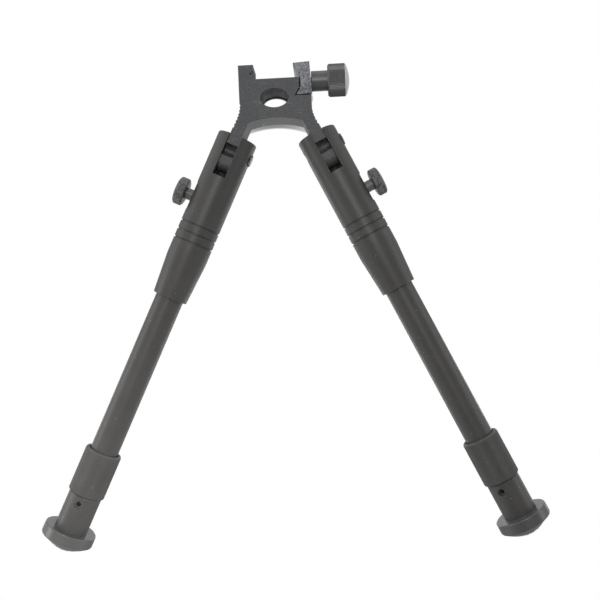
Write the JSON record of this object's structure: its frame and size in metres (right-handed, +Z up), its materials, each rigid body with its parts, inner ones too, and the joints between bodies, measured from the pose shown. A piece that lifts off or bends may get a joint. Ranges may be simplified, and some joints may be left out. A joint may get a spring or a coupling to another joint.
{
  "type": "telescopic bipod",
  "caption": "Folding telescopic bipod with a screw clamp for a dovetail accessory rail, splayed legs with twist-lock extension and domed feet.",
  "frame": {"origin": "middle of the rail seat, on the seat's surface", "axes": "+Z up from the feet to the rail, +X towards the clamp knob, -Y the front face seen in the picture"},
  "size_m": [0.223, 0.0232, 0.2106],
  "materials": {
    "head_anodised": "matt black anodised, dusty",
    "jaw_anodised": "matt black anodised, speckled saw-cut face",
    "knob_anodised": "black anodised, knurled",
    "collar_anodised": "black anodised, fine knurl",
    "leg_anodised": "satin black anodised",
    "black_steel": "black oxide",
    "spring_steel": "bright drawn wire",
    "rod_steel": "ground",
    "brass": "turned",
    "bearing_plastic": "turned acetal",
    "foot_rubber": "smooth hard rubber"
  },
  "bodies": {
    "head": {"clamp_body": "head_anodised"},
    "jaw": {"clamp_jaw": "jaw_anodised"},
    "clamp_screw": {"clamp_knob": "knob_anodised", "clamp_stud": "black_steel"},
    "left_leg": {"left_leg_housing": "leg_anodised", "left_hinge_pin": "black_steel", "left_spring_seat": "black_steel", "left_leg_tube": "leg_anodised", "left_collet": "bearing_plastic"},
    "left_plunger": {"left_detent_plunger": "black_steel", "left_detent_spring": "spring_steel"},
    "left_lock_tip": {"left_lock_pad": "brass"},
    "left_lock_wheel": {"left_lock_screw": "knob_anodised"},
    "left_collar": {"left_twist_collar": "collar_anodised"},
    "left_extension": {"left_extension_rod": "rod_steel", "left_guide_bush": "bearing_plastic", "left_foot_stem": "leg_anodised", "left_roll_pin": "black_steel", "left_foot_pad": "foot_rubber"},
    "right_leg": {"right_leg_housing": "leg_anodised", "right_hinge_pin": "black_steel", "right_spring_seat": "black_steel", "right_leg_tube": "leg_anodised", "right_collet": "bearing_plastic"},
    "right_plunger": {"right_detent_plunger": "black_steel", "right_detent_spring": "spring_steel"},
    "right_lock_tip": {"right_lock_pad": "brass"},
    "right_lock_wheel": {"right_lock_screw": "knob_anodised"},
    "right_collar": {"right_twist_collar": "collar_anodised"},
    "right_extension": {"right_extension_rod": "rod_steel", "right_guide_bush": "bearing_plastic", "right_foot_stem": "leg_anodised", "right_roll_pin": "black_steel", "right_foot_pad": "foot_rubber"}
  },
  "joints": [
    {"name": "jaw_slide", "type": "slide", "parent": "head", "child": "jaw", "axis": [1, 0, 0], "range_m": [-0.0002, 0.003]},
    {"name": "clamp_screw_turn", "type": "hinge", "parent": "jaw", "child": "clamp_screw", "pos_m": [0.02, 0, -0.00035], "axis": [1, 0, 0], "range_deg": [-90, 1350]},
    {"name": "left_leg_fold", "type": "hinge", "parent": "head", "child": "left_leg", "pos_m": [-0.0204, 0, -0.0304], "axis": [-0.9007, 0, 0.4344], "range_deg": [-90, 90]},
    {"name": "left_plunger_slide", "type": "slide", "parent": "left_leg", "child": "left_plunger", "axis": [-0.4344, 0, -0.9007], "range_m": [-0.0015, 0.0018], "stiffness_N_per_m": 500, "springref_m": -0.0015, "deforming": ["left_detent_spring"]},
    {"name": "left_lock_tip_slide", "type": "slide", "parent": "left_leg", "child": "left_lock_tip", "axis": [-0.9007, 0, 0.4344], "range_m": [-0.0003, 0.0015]},
    {"name": "left_lock_turn", "type": "hinge", "parent": "left_lock_tip", "child": "left_lock_wheel", "pos_m": [-0.03083, 0, -0.05202], "axis": [-0.9007, 0, 0.4344], "range_deg": [-135, 675]},
    {"name": "left_collar_turn", "type": "hinge", "parent": "left_leg", "child": "left_collar", "pos_m": [-0.08557, 0, -0.1655], "axis": [-0.4344, 0, -0.9007], "range_deg": [0, 120]},
    {"name": "left_extension_slide", "type": "slide", "parent": "left_leg", "child": "left_extension", "axis": [-0.4344, 0, -0.9007], "range_m": [0, 0.06]},
    {"name": "right_leg_fold", "type": "hinge", "parent": "head", "child": "right_leg", "pos_m": [0.0204, 0, -0.0304], "axis": [-0.9007, 0, -0.4344], "range_deg": [-90, 90]},
    {"name": "right_plunger_slide", "type": "slide", "parent": "right_leg", "child": "right_plunger", "axis": [0.4344, 0, -0.9007], "range_m": [-0.0015, 0.0018], "stiffness_N_per_m": 500, "springref_m": -0.0015, "deforming": ["right_detent_spring"]},
    {"name": "right_lock_tip_slide", "type": "slide", "parent": "right_leg", "child": "right_lock_tip", "axis": [0.9007, 0, 0.4344], "range_m": [-0.0003, 0.0015]},
    {"name": "right_lock_turn", "type": "hinge", "parent": "right_lock_tip", "child": "right_lock_wheel", "pos_m": [0.03083, 0, -0.05202], "axis": [0.9007, 0, 0.4344], "range_deg": [-135, 675]},
    {"name": "right_collar_turn", "type": "hinge", "parent": "right_leg", "child": "right_collar", "pos_m": [0.08557, 0, -0.1655], "axis": [0.4344, 0, -0.9007], "range_deg": [0, 120]},
    {"name": "right_extension_slide", "type": "slide", "parent": "right_leg", "child": "right_extension", "axis": [0.4344, 0, -0.9007], "range_m": [0, 0.06]}
  ],
  "couplings": [
    {"joint": "clamp_screw_turn", "follows": "jaw_slide", "rad_per_m": 7854},
    {"joint": "left_lock_turn", "follows": "left_lock_tip_slide", "rad_per_m": 7854},
    {"joint": "right_lock_turn", "follows": "right_lock_tip_slide", "rad_per_m": 7854}
  ]
}
